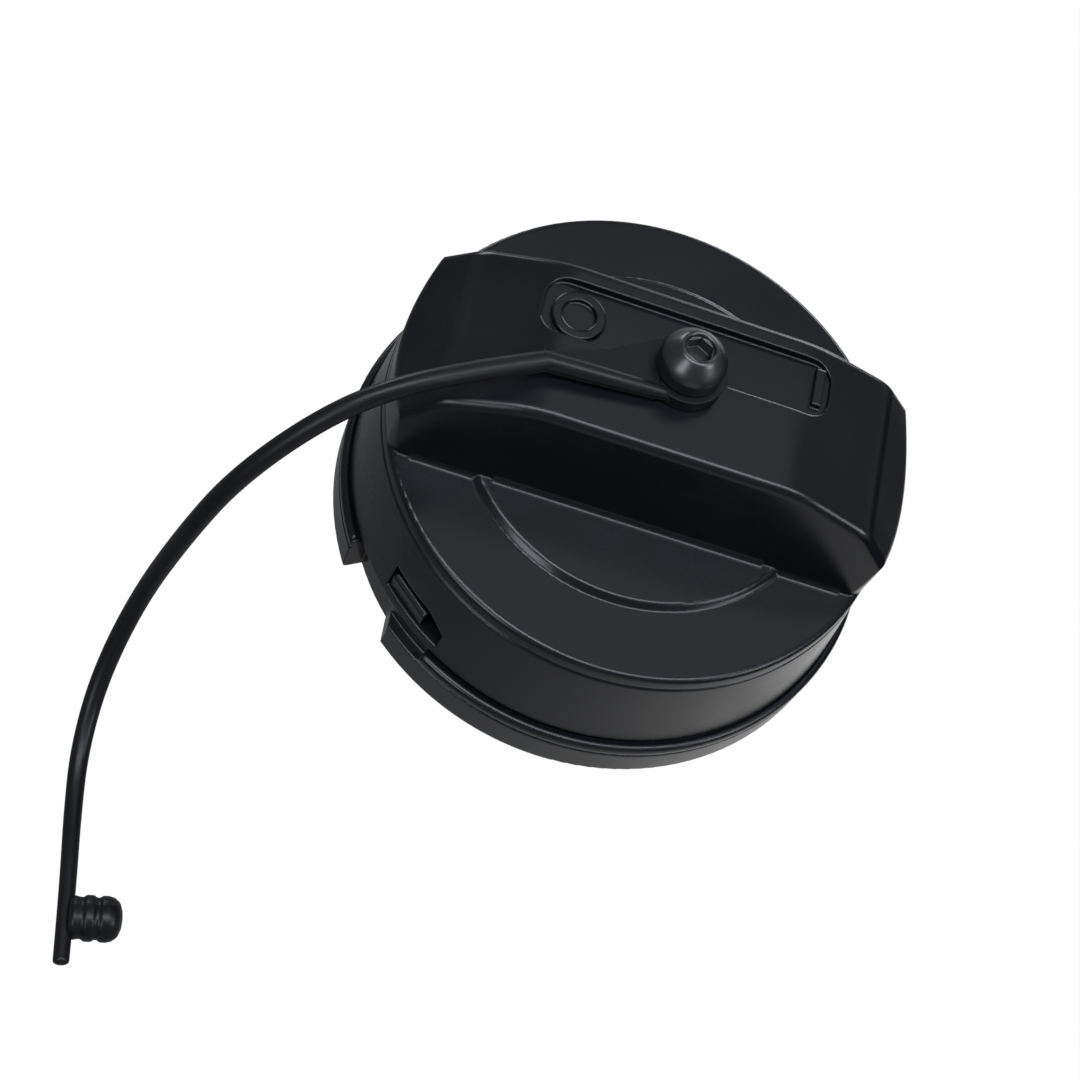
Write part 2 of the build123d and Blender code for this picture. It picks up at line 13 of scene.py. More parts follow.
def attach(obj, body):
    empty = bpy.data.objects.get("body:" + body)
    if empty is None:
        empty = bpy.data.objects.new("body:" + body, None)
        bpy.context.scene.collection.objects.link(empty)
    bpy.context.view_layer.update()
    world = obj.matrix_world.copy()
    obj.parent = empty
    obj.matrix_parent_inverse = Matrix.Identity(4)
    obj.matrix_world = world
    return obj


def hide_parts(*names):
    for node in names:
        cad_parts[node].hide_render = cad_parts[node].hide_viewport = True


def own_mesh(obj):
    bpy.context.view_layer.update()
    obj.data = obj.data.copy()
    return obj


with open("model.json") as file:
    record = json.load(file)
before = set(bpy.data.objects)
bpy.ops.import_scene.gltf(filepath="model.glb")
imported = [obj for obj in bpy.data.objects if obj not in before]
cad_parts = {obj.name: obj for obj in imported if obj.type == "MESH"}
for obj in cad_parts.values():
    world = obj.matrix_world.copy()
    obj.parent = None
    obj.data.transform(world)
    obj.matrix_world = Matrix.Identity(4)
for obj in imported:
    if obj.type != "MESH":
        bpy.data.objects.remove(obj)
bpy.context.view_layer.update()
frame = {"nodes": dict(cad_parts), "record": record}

nodes = frame["nodes"]

# %% [markdown]
# The camera comes before any piece, because a cord that strays too far from its view has to be
# mended in the solids. It looks down at the cap from 60 degrees above the floor and is rolled by
# 30 degrees, so that the cap leans to the right. A rolled camera needs all three of its axes,
# which make the columns of a rotation matrix.

# %% Camera
camera_right = Vector((0.94648, 0.20132, 0.25227))
camera_up = Vector((-0.29679, 0.85002, 0.43519))
camera_back = camera_right.cross(camera_up)
bpy.ops.object.camera_add(location=(-0.04515, -0.15118, 0.27973))
camera = bpy.context.object
camera.name = "studio_camera"
turn = Matrix((camera_right, camera_up, camera_back)).transposed()
camera.rotation_euler = turn.to_euler()
camera.data.sensor_width = 36.0
camera.data.lens = 66.67
camera.data.clip_start = 0.01
bpy.context.scene.camera = camera
print("camera looks along", tuple(round(v, 3) for v in -camera_back))

# %% [markdown]
# The tether's strap is a moulded round cord of soft plastic, 2.8 mm thick, stiff enough to stand
# clear of the cap in one arch and to rest on the floor only near its far end. A Bezier line
# would need two handles at every point, so this line is a NURBS spline, which has no corners.
# Its control points are the strap's route in the solids.

# %% Tether strap
strap_diameter = 0.0028
strap_route = [
    (-0.0185, -0.0057, 0.06685), (-0.0251, -0.0091, 0.0665), (-0.0358, -0.0159, 0.0665),
    (-0.0438, -0.0212, 0.0621), (-0.0518, -0.0269, 0.0512), (-0.0563, -0.0302, 0.0378),
    (-0.0604, -0.0329, 0.0200), (-0.0627, -0.0407, 0.0077), (-0.0624, -0.0503, 0.0023),
    (-0.0603, -0.0600, 0.0016), (-0.0577, -0.0703, 0.0038), (-0.0553, -0.0808, 0.0043),
]


def nurbs_line(name, route, radius, end_taper):
    """Smooth open curve with a round section that follows control points. end_taper holds the last
    points' shares of the radius."""
    curve = bpy.data.curves.new(name, "CURVE")
    curve.dimensions = "3D"
    spline = curve.splines.new("NURBS")
    spline.points.add(len(route) - 1)
    shares = [1.0] * (len(route) - len(end_taper)) + list(end_taper)
    for point, place, share in zip(spline.points, route, shares):
        point.co = (*place, 1.0)
        point.radius = radius * share
    spline.order_u = 3
    spline.use_endpoint_u = True
    spline.resolution_u = 24
    curve.bevel_depth = 1.0
    curve.bevel_resolution = 8
    curve.use_fill_caps = True
    line = bpy.data.objects.new(name, curve)
    bpy.context.scene.collection.objects.link(line)
    return line


strap = nurbs_line("strap", strap_route, strap_diameter / 2, (0.96, 0.90, 0.84, 0.80))
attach(strap, "tether")
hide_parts("tether_strap")
print("strap:", len(strap_route), "control points")

# %% [markdown]
# Moulded plastic is never one flat colour. The steel mould gives it a fine grain, handling
# polishes it and leaves dull patches between, and fine scuffs cross these. The three are one
# node group, placed in every material with its own values, so that each finish differs only in
# how strong they are.

# %% Helpers for nodes


def add_sockets(group, inputs, outputs):
    """Named inputs with their values, and named outputs, on a shader node group."""
    for name, value in inputs:
        socket = group.interface.new_socket(name=name, in_out="INPUT",
                                            socket_type="NodeSocketFloat")
        socket.default_value = value
    for name in outputs:
        group.interface.new_socket(name=name, in_out="OUTPUT", socket_type="NodeSocketFloat")


def add_node(tree, kind, **settings):
    """New node in a tree, with its own settings such as an operation or a data type."""
    node = tree.nodes.new(kind)
    for name, value in settings.items():
        setattr(node, name, value)
    return node


def noise(tree, vector, scale, detail=2.0, roughness=0.5):
    """Noise texture on a vector. The scale is a number or another node's output."""
    node = add_node(tree, "ShaderNodeTexNoise")
    tree.links.new(vector, node.inputs["Vector"])
    if isinstance(scale, (int, float)):
        node.inputs["Scale"].default_value = scale
    else:
        tree.links.new(scale, node.inputs["Scale"])
    node.inputs["Detail"].default_value = detail
    node.inputs["Roughness"].default_value = roughness
    return node.outputs["Fac"]


def math_node(tree, operation, a, b=0.0, c=0.0):
    """Output of a Math node. Each of a, b and c is a number or another node's output."""
    node = add_node(tree, "ShaderNodeMath", operation=operation)
    for socket, value in zip(node.inputs, (a, b, c)):
        if isinstance(value, (int, float)):
            socket.default_value = value
        else:
            tree.links.new(value, socket)
    return node.outputs[0]


def ramp(tree, value, low, high):
    """Maps low..high to 0..1, and holds the ends."""
    node = add_node(tree, "ShaderNodeMapRange", clamp=True)
    tree.links.new(value, node.inputs["Value"])
    node.inputs["From Min"].default_value = low
    node.inputs["From Max"].default_value = high
    return node.outputs["Result"]

# %% [markdown]
# Inside the group, a fine noise is the grain and a coarse one tells the dull patches from the
# polished rest. A third noise is stretched along one direction by a Mapping node, so that it
# draws thin scuffs, and these show only in the dull patches. An image could be painted instead,
# but noise needs no unwrapping of the solids.

# %% Node group for moulded surfaces
scuff_stretch = (18.0, 420.0, 160.0)
scuff_slant = (0.3, 0.2, 0.5)
patch_tone = 0.45          # how far a dull patch goes towards the lighter colour
scuff_roughness = 0.15     # what a scuff adds to the roughness

moulded = bpy.data.node_groups.new("moulded_surface", "ShaderNodeTree")
add_sockets(moulded, [("Grain Scale", 2600.0), ("Grain Depth", 1.0), ("Patch Scale", 60.0),
                      ("Scuffs", 0.3), ("Roughness Low", 0.35), ("Roughness High", 0.5)],
            ["Tone", "Roughness", "Height"])
inside = add_node(moulded, "NodeGroupInput")
outside = add_node(moulded, "NodeGroupOutput")
place = add_node(moulded, "ShaderNodeTexCoord").outputs["Object"]
grain = noise(moulded, place, inside.outputs["Grain Scale"], detail=1.5)
patches = ramp(moulded, noise(moulded, place, inside.outputs["Patch Scale"], detail=4.0),
               low=0.38, high=0.66)
stretched = add_node(moulded, "ShaderNodeMapping")
stretched.inputs["Scale"].default_value = scuff_stretch
stretched.inputs["Rotation"].default_value = scuff_slant
moulded.links.new(place, stretched.inputs["Vector"])
scuffs = ramp(moulded, noise(moulded, stretched.outputs["Vector"], 5.0, detail=3.0, roughness=0.6),
              low=0.60, high=0.72)
scuffs = math_node(moulded, "MULTIPLY", scuffs, patches)
scuffs = math_node(moulded, "MULTIPLY", scuffs, inside.outputs["Scuffs"])
tone = math_node(moulded, "MULTIPLY_ADD", patches, patch_tone, scuffs)
smoothest = inside.outputs["Roughness Low"]
span = math_node(moulded, "SUBTRACT", inside.outputs["Roughness High"], smoothest)
rough = math_node(moulded, "MULTIPLY_ADD", patches, span, smoothest)
rough = math_node(moulded, "ADD", rough,
                  math_node(moulded, "MULTIPLY", scuffs, scuff_roughness))
height = math_node(moulded, "MULTIPLY", grain, inside.outputs["Grain Depth"])
for name, value in (("Tone", tone), ("Roughness", rough), ("Height", height)):
    moulded.links.new(value, outside.inputs[name])
print("group:", moulded.name, "with", len(moulded.nodes), "nodes")

# %% [markdown]
# Each finish is a Principled shader fed by that group: Tone mixes two close colours, Roughness
# and Height go straight in, and the numbers that are the same all over are set on the shader
# itself. A Bevel node rounds the edges of the solids in the shading only, which is enough for an
# edge of a few tenths of a millimetre, and the moulding grain is bumped on top of it.

# %% Recipe for a finish


def finish_material(name, dark, light, low, high, grain_scale, grain_depth, scuff=0.3,
                    patch_scale=60.0, edge_radius=0.0002, **shader_values):
    """Material between two colours and two roughnesses. The grain's depth and the edge's radius
    are in metres, and shader_values are sockets of the shader, with _ for a space."""
    material = bpy.data.materials.new(name)
    material.use_nodes = True
    tree = material.node_tree
    shader = tree.nodes["Principled BSDF"]
    surface = add_node(tree, "ShaderNodeGroup", node_tree=moulded)
    for socket, value in (("Grain Scale", grain_scale), ("Grain Depth", 1.0),
                          ("Patch Scale", patch_scale), ("Scuffs", scuff),
                          ("Roughness Low", low), ("Roughness High", high)):
        surface.inputs[socket].default_value = value
    colours = add_node(tree, "ShaderNodeMix", data_type="RGBA")
    colours.inputs["A"].default_value = (*dark, 1.0)
    colours.inputs["B"].default_value = (*light, 1.0)
    tree.links.new(surface.outputs["Tone"], colours.inputs["Factor"])
    tree.links.new(colours.outputs["Result"], shader.inputs["Base Color"])
    tree.links.new(surface.outputs["Roughness"], shader.inputs["Roughness"])
    bump = add_node(tree, "ShaderNodeBump")
    bump.inputs["Strength"].default_value = 1.0
    bump.inputs["Distance"].default_value = grain_depth
    tree.links.new(surface.outputs["Height"], bump.inputs["Height"])
    rounded_edges = add_node(tree, "ShaderNodeBevel", samples=8)
    rounded_edges.inputs["Radius"].default_value = edge_radius
    tree.links.new(rounded_edges.outputs["Normal"], bump.inputs["Normal"])
    tree.links.new(bump.outputs["Normal"], shader.inputs["Normal"])
    for socket, value in shader_values.items():
        shader.inputs[socket.replace("_", " ")].default_value = value
    return material

# %% [markdown]
# The grip and the ring are satin black with a sheen that shows their round edges. The tether is
# the softer, duller plastic, and the stud the most polished one. The plug is a coarser moulding,
# because it hides in the filler neck, and the valve's plastic is left in its natural white.

# %% Plastics
grip_plastic = finish_material(
    "satin_black_plastic", (0.0028, 0.0030, 0.0040), (0.0044, 0.0047, 0.0062),
    low=0.22, high=0.30, grain_scale=2600.0, grain_depth=0.000006,
    edge_radius=0.0005, Specular_IOR_Level=0.20)
tether_plastic = finish_material(
    "soft_black_plastic", (0.0034, 0.0034, 0.0040), (0.0060, 0.0060, 0.0070),
    low=0.34, high=0.44, grain_scale=3200.0, grain_depth=0.000006,
    scuff=0.15, Specular_IOR_Level=0.14)
stud_plastic = finish_material(
    "polished_black_plastic", (0.0036, 0.0036, 0.0045), (0.0060, 0.0060, 0.0070),
    low=0.30, high=0.36, grain_scale=1800.0, grain_depth=0.000003,
    scuff=0.1, Specular_IOR_Level=0.5)
plug_plastic = finish_material(
    "moulded_plug_plastic", (0.018, 0.018, 0.020), (0.030, 0.030, 0.032),
    low=0.42, high=0.56, grain_scale=2200.0, grain_depth=0.000014,
    Specular_IOR_Level=0.4)
valve_plastic = finish_material(
    "natural_white_plastic", (0.60, 0.58, 0.52), (0.68, 0.67, 0.62),
    low=0.35, high=0.50, grain_scale=1800.0, grain_depth=0.000008,
    scuff=0.1, Subsurface_Weight=0.1, Subsurface_Scale=0.001)

# %% [markdown]
# The seals are matt black rubber. The springs are drawn wire and the plates pressed sheet, both
# bare steel, so they are fully metallic and differ in grain and scuffs. They share the plastics'
# recipe, because wear and grain come from handling and tools there as well.

# %% Rubber and steel
seal_rubber = finish_material(
    "black_seal_rubber", (0.018, 0.018, 0.018), (0.040, 0.039, 0.037),
    low=0.62, high=0.78, grain_scale=1500.0, grain_depth=0.000015,
    scuff=0.2, Specular_IOR_Level=0.35)
spring_steel = finish_material(
    "drawn_spring_steel", (0.42, 0.42, 0.43), (0.62, 0.62, 0.63),
    low=0.22, high=0.36, grain_scale=3000.0, grain_depth=0.000004,
    scuff=0.4, Metallic=1.0)
plate_steel = finish_material(
    "pressed_sheet_steel", (0.50, 0.50, 0.50), (0.66, 0.66, 0.66),
    low=0.24, high=0.42, grain_scale=1400.0, grain_depth=0.000005,
    scuff=0.6, Metallic=1.0)

# %% [markdown]
# Every solid of the frame names its material slot in the record. One table from slot to material
# dresses them all, and the new pieces use it too, so that both always match.

# %% Finish the solids
by_slot = {"grip_plastic": grip_plastic, "tether_plastic": tether_plastic,
           "stud_plastic": stud_plastic, "plug_plastic": plug_plastic,
           "valve_plastic": valve_plastic, "seal_rubber": seal_rubber,
           "spring_steel": spring_steel, "plate_steel": plate_steel}
for part in frame["record"]["subparts"]:
    mesh = nodes[part["node"]].data
    mesh.materials.clear()
    mesh.materials.append(by_slot[part["material_slot"]])
print("materials:", [material.name for material in by_slot.values()])

# %% [markdown]
# Every new piece ends the same way: its edges get their radius, its shading is smoothed up to a
# chosen angle, and it is told which body it moves with and which solid it stands for. Operators
# act on whatever is selected, so each helper first selects its own piece alone.

# %% Helpers for pieces
mm = 0.001
smooth_angle = math.radians(32)


def only_select(piece):
    """Makes one object the selected and active one."""
    bpy.ops.object.select_all(action="DESELECT")
    piece.select_set(True)
    bpy.context.view_layer.objects.active = piece


def apply_place(piece):
    """Moves a piece's place and turn into its mesh."""
    only_select(piece)
    bpy.ops.object.transform_apply(location=True, rotation=True, scale=True)


def close_shell():
    """Points all faces of the mesh in edit mode outwards and leaves edit mode."""
    bpy.ops.mesh.select_all(action="SELECT")
    bpy.ops.mesh.normals_make_consistent(inside=False)
    bpy.ops.object.mode_set(mode="OBJECT")


def add_bevel(piece, width, segments=3, angle=30.0):
    """Rounds all edges sharper than an angle and applies the modifier."""
    only_select(piece)
    bevel = piece.modifiers.new("edge_radius", "BEVEL")
    bevel.width = width
    bevel.segments = segments
    bevel.limit_method = "ANGLE"
    bevel.angle_limit = math.radians(angle)
    bpy.ops.object.modifier_apply(modifier=bevel.name)


def hand_in(piece, body, slot, replaced=()):
    """Gives a finished piece its shading, its material, its body and the nodes that it stands for.
    Weighted normals keep the wide flat faces flat, so that only their rounded edges shine."""
    only_select(piece)
    bpy.ops.object.shade_smooth_by_angle(angle=smooth_angle)
    weigh = piece.modifiers.new("weighted_normals", "WEIGHTED_NORMAL")
    weigh.keep_sharp = True
    bpy.ops.object.modifier_apply(modifier=weigh.name)
    piece.data.materials.clear()
    piece.data.materials.append(by_slot[slot])
    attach(piece, body)
    if replaced:
        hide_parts(*replaced)
    print(piece.name, "on", body, "faces:", len(piece.data.polygons))

# %% [markdown]
# The stud's head, the snap knob and the strap's rounded end are turned shapes. Each grows from a
# filled circle: its face is extruded upwards again and again, and scaled to the next radius, as
# on a lathe that works from the foot to the tip. A Screw modifier could turn a profile too, but
# here each ring reads as a radius and a height. The edges between rings get their bevel last.

# %% Helpers for turned pieces


def turned_piece(name, sides, rings, bevel=0.0, bevel_angle=12.0):
    """Round piece about Z from (radius, height) rings in millimetres, closed at both ends."""
    radius, height = (size * mm for size in rings[0])
    bpy.ops.mesh.primitive_circle_add(vertices=sides, radius=radius, fill_type="NGON",
                                      location=(0.0, 0.0, 0.0))
    piece = bpy.context.object
    piece.name = name
    bpy.ops.object.mode_set(mode="EDIT")
    bpy.ops.mesh.select_all(action="SELECT")
    bpy.ops.transform.translate(value=(0.0, 0.0, height))
    for new_radius, new_height in rings[1:]:
        new_radius, new_height = new_radius * mm, new_height * mm
        bpy.ops.mesh.extrude_region_move(
            TRANSFORM_OT_translate={"value": (0.0, 0.0, new_height - height)})
        scale = new_radius / radius
        bpy.ops.transform.resize(value=(scale, scale, 1.0),
                                 center_override=(0.0, 0.0, new_height))
        radius, height = new_radius, new_height
    close_shell()
    if bevel:
        add_bevel(piece, bevel, angle=bevel_angle)
    return piece


def point_along(piece, foot, direction):
    """Lays an upright piece along a direction with its foot at a point."""
    piece.rotation_euler = Vector(direction).to_track_quat("Z", "Y").to_euler()
    piece.location = foot
    apply_place(piece)

# %% [markdown]
# Three wire springs hide inside the cap: a wide one presses on the ratchet ring, and two small
# ones close the pressure valve and the vacuum valve. Each is a round of wire swept up a screw,
# which the Screw modifier does in one step. A spring shortens when its valve opens, but here each
# one keeps its length and moves with one body.

# %% Helpers for springs


def coil_spring(name, coil_radius, wire, coils, low, high, turn_steps):
    """Open coil spring about Z between two heights, with its cut ends closed."""
    bpy.ops.mesh.primitive_circle_add(vertices=12, radius=wire / 2,
                                      location=(coil_radius, 0.0, low + wire / 2),
                                      rotation=(math.pi / 2, 0.0, 0.0))
    piece = bpy.context.object
    piece.name = name
    apply_place(piece)
    screw = piece.modifiers.new("helix", "SCREW")
    screw.axis = "Z"
    screw.angle = 2 * math.pi * coils
    screw.screw_offset = high - low - wire
    screw.steps = screw.render_steps = round(coils * turn_steps)
    bpy.ops.object.modifier_apply(modifier=screw.name)
    bpy.ops.object.mode_set(mode="EDIT")
    bpy.ops.mesh.select_mode(type="EDGE")
    bpy.ops.mesh.select_all(action="DESELECT")
    bpy.ops.mesh.select_non_manifold()
    bpy.ops.mesh.fill_holes(sides=0)
    close_shell()
    return piece


def press_spring(piece, body, node):
    """Gives a spring its shading, its steel and its body, and a mesh of its own."""
    hand_in(piece, body, "spring_steel", (node,))
    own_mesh(piece)

# %% [markdown]
# Each spring stands between two seats. The heights of the seats come from the solids.

# %% Springs
plate_seat = 8.4 * mm        # where the two valve springs stand on the pressure plate
retainer_seat = 20.3 * mm    # under the spring retainer
clip_seat = 12.05 * mm       # under the clip on the vacuum poppet's stem
ring_seat = 32.6 * mm        # on the ratchet ring
disc_seat = 45.7 * mm        # under the grip's disc

ratchet_coil = coil_spring("ratchet_coil", coil_radius=24.5 * mm, wire=1.4 * mm, coils=2.5,
                           low=ring_seat, high=disc_seat, turn_steps=64)
press_spring(ratchet_coil, "handle", "ratchet_spring")
pressure_coil = coil_spring("pressure_coil", coil_radius=8.0 * mm, wire=1.0 * mm, coils=4,
                            low=plate_seat, high=retainer_seat, turn_steps=36)
press_spring(pressure_coil, "closure",
             "pressure_spring")
vacuum_coil = coil_spring("vacuum_coil", coil_radius=2.2 * mm, wire=0.45 * mm, coils=4,
                          low=plate_seat, high=clip_seat, turn_steps=24)
press_spring(vacuum_coil, "pressure_valve", "vacuum_spring")

# %% [markdown]
# The base ring carries a half-round ridge that stops short of the gap in the band. Its oval
# section is spun about the cap's axis, because a torus would have a round section and no ends.
# Both ends get a bevel so that they look run out.

# %% Base ring ridge
ridge_radius, ridge_height = 39.08 * mm, 29.22 * mm
ridge_half_width, ridge_half_height = 0.76 * mm, 0.82 * mm
ridge_start, ridge_sweep = math.radians(238.0), math.radians(331.5)
on_axis = (0.0, 0.0, 0.0)
bpy.ops.mesh.primitive_circle_add(vertices=20, radius=1.0, fill_type="NGON", location=on_axis)
ridge = bpy.context.object
ridge.name = "ring_ridge"
bpy.ops.object.mode_set(mode="EDIT")
bpy.ops.mesh.select_all(action="SELECT")
bpy.ops.transform.resize(value=(ridge_half_width, ridge_half_height, 1.0))
bpy.ops.transform.rotate(value=math.radians(90), orient_axis="X", center_override=on_axis)
bpy.ops.transform.translate(value=(ridge_radius, 0.0, ridge_height))
bpy.ops.transform.rotate(value=-ridge_start, orient_axis="Z", center_override=on_axis)
bpy.ops.mesh.spin(steps=240, angle=-ridge_sweep, center=on_axis, axis=(0.0, 0.0, 1.0))
close_shell()
add_bevel(ridge, width=0.45 * mm, angle=40.0)
hand_in(ridge, "handle", "grip_plastic")
print("ridge across:", [round(size / mm, 2) for size in ridge.dimensions])

# %% [markdown]
# The tab and the stud are joined or cut with plain rods. A Boolean modifier does both, and the
# rod that served as its tool is removed as soon as the modifier is applied.

# %% Helper that combines pieces


def combine(piece, tool, operation):
    """Boolean of a piece with a tool, which is removed afterwards."""
    only_select(piece)
    modifier = piece.modifiers.new(operation.lower(), "BOOLEAN")
    modifier.operation = operation
    modifier.solver = "EXACT"
    modifier.object = tool
    bpy.ops.object.modifier_apply(modifier=modifier.name)
    bpy.data.objects.remove(tool)


def upright_rod(sides, radius, depth, middle):
    """Cylinder about Z that serves as a tool for combine."""
    bpy.ops.mesh.primitive_cylinder_add(vertices=sides, radius=radius, depth=depth,
                                        location=(0.0, 0.0, middle))
    return bpy.context.object

# %% [markdown]
# The tether's tab is a flat arm with an eye that turns on the stud. The arm grows from a
# standing rectangle by two extrusions, each narrowed about the near side, and is joined with a
# round disc. It could be cut from a plate with a curve, but two extrusions keep its faces few
# and its sides flat.

# %% Tether tab
plate_low, plate_high, near_side = 65.35 * mm, 67.25 * mm, -5.3 * mm
plate_thickness, plate_middle = plate_high - plate_low, (plate_low + plate_high) / 2
arm_root_x, arm_width = -3.4 * mm, 9.1 * mm
arm_steps = ((7.6 * mm, 4.1 * mm), (7.4 * mm, 1.2 * mm))    # length and end width of each run
eye_radius, eye_hole_radius, eye_hole_depth = 5.4 * mm, 2.66 * mm, 4.0 * mm
bpy.ops.mesh.primitive_plane_add(size=1.0, rotation=(0.0, math.radians(-90), 0.0))
tab = bpy.context.object
tab.name = "tether_tab"
apply_place(tab)
bpy.ops.object.mode_set(mode="EDIT")
bpy.ops.mesh.select_all(action="SELECT")
bpy.ops.transform.resize(value=(1.0, arm_width, plate_thickness))
bpy.ops.transform.translate(value=(arm_root_x, near_side + arm_width / 2, plate_middle))
for run, new_width in arm_steps:
    bpy.ops.mesh.extrude_region_move(TRANSFORM_OT_translate={"value": (-run, 0.0, 0.0)})
    bpy.ops.transform.resize(value=(1.0, new_width / arm_width, 1.0),
                             center_override=(0.0, near_side, 0.0))
    arm_width = new_width
close_shell()
combine(tab, upright_rod(96, eye_radius, plate_thickness, plate_middle), "UNION")
combine(tab, upright_rod(64, eye_hole_radius, eye_hole_depth, plate_low), "DIFFERENCE")
add_bevel(tab, width=0.55 * mm, segments=4)

# %% [markdown]
# Along the tab's near side the strap runs on as a bead, which thins until it meets the eye. It
# is a turned piece, laid along the line from the strap's first point, and it moves with the tab.

# %% Tab bead
bead_rings = [(0.90, -0.9), (1.37, -0.6), (1.40, 0.0), (1.37, 5.0), (1.25, 10.0), (1.08, 14.5),
              (0.85, 17.2), (0.4, 18.2)]
bead = turned_piece("tab_bead", sides=40, rings=bead_rings)
bead_tip = Vector((-1.5, -4.35, 66.35)) * mm
point_along(bead, strap_route[0], (bead_tip - Vector(strap_route[0])).normalized())
hand_in(tab, "tether", "tether_plastic", ["tether_eye"])
hand_in(bead, "tether", "tether_plastic")

# %% [markdown]
# The stud clamps the tether. Its head is a blunt cone on a low flange, dished on top, with a
# hexagon socket. Insetting and pushing in the top face would make a socket too, but the dish is
# already there, so a six-sided rod cuts it out. The shank goes down through its bush into the
# grip.

# %% Tether stud
head_foot = 67.5           # millimetres above the floor, as the rings are
stud_rings = [(4.45, 0.0), (4.60, 0.15), (4.60, 2.05), (4.50, 2.50), (4.30, 2.90), (3.90, 3.42),
              (3.45, 3.95), (3.10, 4.33), (2.85, 4.60), (2.60, 4.80), (2.35, 4.88), (2.10, 4.74),
              (1.95, 4.30)]
socket_radius, socket_depth, socket_middle = 1.90 * mm, 2.4 * mm, (head_foot + 3.7) * mm
stud = turned_piece("stud_head", sides=96, rings=[(r, head_foot + z) for r, z in stud_rings],
                    bevel=0.14 * mm)
combine(stud, upright_rod(6, socket_radius, socket_depth, socket_middle), "DIFFERENCE")
shank_rings = [(1.5, 57.5), (1.68, 57.8), (1.68, 67.6)]
shank = turned_piece("stud_shank", sides=32, rings=shank_rings)
hand_in(stud, "handle", "stud_plastic", ["tether_stud"])
hand_in(shank, "handle", "stud_plastic")

# %% [markdown]
# The snap knob plugs into a hole beside the filler. Two shallow ridges grip the hole's edge, and
# the domed end leads it in. It stands square to the strap, just before the strap's rounded end.

# %% Snap knob
strap_run = (Vector(strap_route[-1]) - Vector(strap_route[-2])).normalized()
knob_axis = Vector((-strap_run.y, strap_run.x, 0.0)).normalized()
knob_set_back, knob_stand_off = 6.15 * mm, 1.15 * mm    # from the strap's end, from its middle
knob_rings = [(2.6, -0.7), (3.05, 0.0), (2.86, 0.7), (2.86, 1.2), (3.18, 1.5), (3.18, 2.6),
              (2.88, 2.9), (2.88, 3.4), (3.18, 3.7), (3.18, 4.6), (2.95, 5.4), (2.35, 6.1),
              (1.3, 6.5), (0.5, 6.58)]
knob = turned_piece("snap_knob", sides=72, rings=knob_rings, bevel=0.22 * mm)
knob_foot = Vector(strap_route[-1]) - strap_run * knob_set_back + knob_axis * knob_stand_off
point_along(knob, knob_foot, knob_axis)
hand_in(knob, "tether", "tether_plastic", ["tether_knob"])
print("knob axis:", tuple(round(v, 3) for v in knob_axis))

# %% [markdown]
# The strap's cut end is rounded by a small turned cap, because a curve can only be closed flat.

# %% Strap end
tip_rings = [(0.8, -1.2), (1.115, -0.5), (1.115, 0.0), (1.03, 0.22), (0.82, 0.38), (0.5, 0.47),
             (0.15, 0.5)]
strap_tip = turned_piece("strap_tip", sides=48, rings=tip_rings)
point_along(strap_tip, strap_route[-1], strap_run)
hand_in(strap_tip, "tether", "tether_plastic")
strap.data.materials.append(tether_plastic)

# %% [markdown]
# The studio is a wide floor, a plain surround, six soft lamps and a black card. Floor and
# surround show as white to the camera, and partly in reflections, while the light that they give
# the cap stays at a plain level. A Light Path node tells the kinds of ray apart, which is
# simpler than more light on a white floor and leaves the cap's own colours alone.

# %% White to the camera


def white_to_view(tree, shader, in_view, mirrored):
    """Mixes a shader with plain white: with the share in_view for the camera's own rays, and with
    the share or socket mirrored for glossy and transmission rays."""
    path = add_node(tree, "ShaderNodeLightPath")
    bounced = math_node(tree, "MAXIMUM", path.outputs["Is Glossy Ray"],
                        path.outputs["Is Transmission Ray"])
    seen = math_node(tree, "MULTIPLY", path.outputs["Is Camera Ray"], in_view)
    share = math_node(tree, "MAXIMUM", seen, math_node(tree, "MULTIPLY", bounced, mirrored))
    white = add_node(tree, "ShaderNodeEmission")
    white.inputs["Strength"].default_value = 1.0
    mix = add_node(tree, "ShaderNodeMixShader")
    tree.links.new(share, mix.inputs[0])
    tree.links.new(shader, mix.inputs[1])
    tree.links.new(white.outputs[0], mix.inputs[2])
    return mix.outputs[0]

# %% [markdown]
# On the floor the share that is mirrored fades towards the left. This is a painted reflection,
# which gives the skirt a painted sheen that is brighter on its right than on its left. From below
# the floor is clear, so that the underside can be seen as well.

# %% Floor
paper_white = 0.99    # what the camera sees of plain white; the rest is the shaded paper
bpy.ops.mesh.primitive_plane_add(size=6.0, location=(0.0, 0.0, -0.0001))
floor = bpy.context.object
floor.name = "studio_floor"
paper = bpy.data.materials.new("white_paper")
paper.use_nodes = True
tree = paper.node_tree
paper_shader = tree.nodes["Principled BSDF"]
paper_shader.inputs["Base Color"].default_value = (0.12, 0.12, 0.12, 1.0)
paper_shader.inputs["Roughness"].default_value = 0.9
paper_shader.inputs["Specular IOR Level"].default_value = 0.0
paper_axes = add_node(tree, "ShaderNodeSeparateXYZ")
tree.links.new(add_node(tree, "ShaderNodeTexCoord").outputs["Object"], paper_axes.inputs[0])
# painted reflection: what glossy rays see of the floor's white fades from the right to the left
painted_sheen_fade = add_node(tree, "ShaderNodeMapRange", interpolation_type="SMOOTHSTEP")
for socket, value in (("From Min", -0.075), ("From Max", 0.085),
                      ("To Min", 0.04), ("To Max", 1.0)):
    painted_sheen_fade.inputs[socket].default_value = value
tree.links.new(paper_axes.outputs["X"], painted_sheen_fade.inputs["Value"])
from_above = white_to_view(tree, paper_shader.outputs[0], in_view=paper_white,
                           mirrored=painted_sheen_fade.outputs[0])
side = add_node(tree, "ShaderNodeNewGeometry")
clear = add_node(tree, "ShaderNodeBsdfTransparent")
by_side = add_node(tree, "ShaderNodeMixShader")
tree.links.new(side.outputs["Backfacing"], by_side.inputs[0])
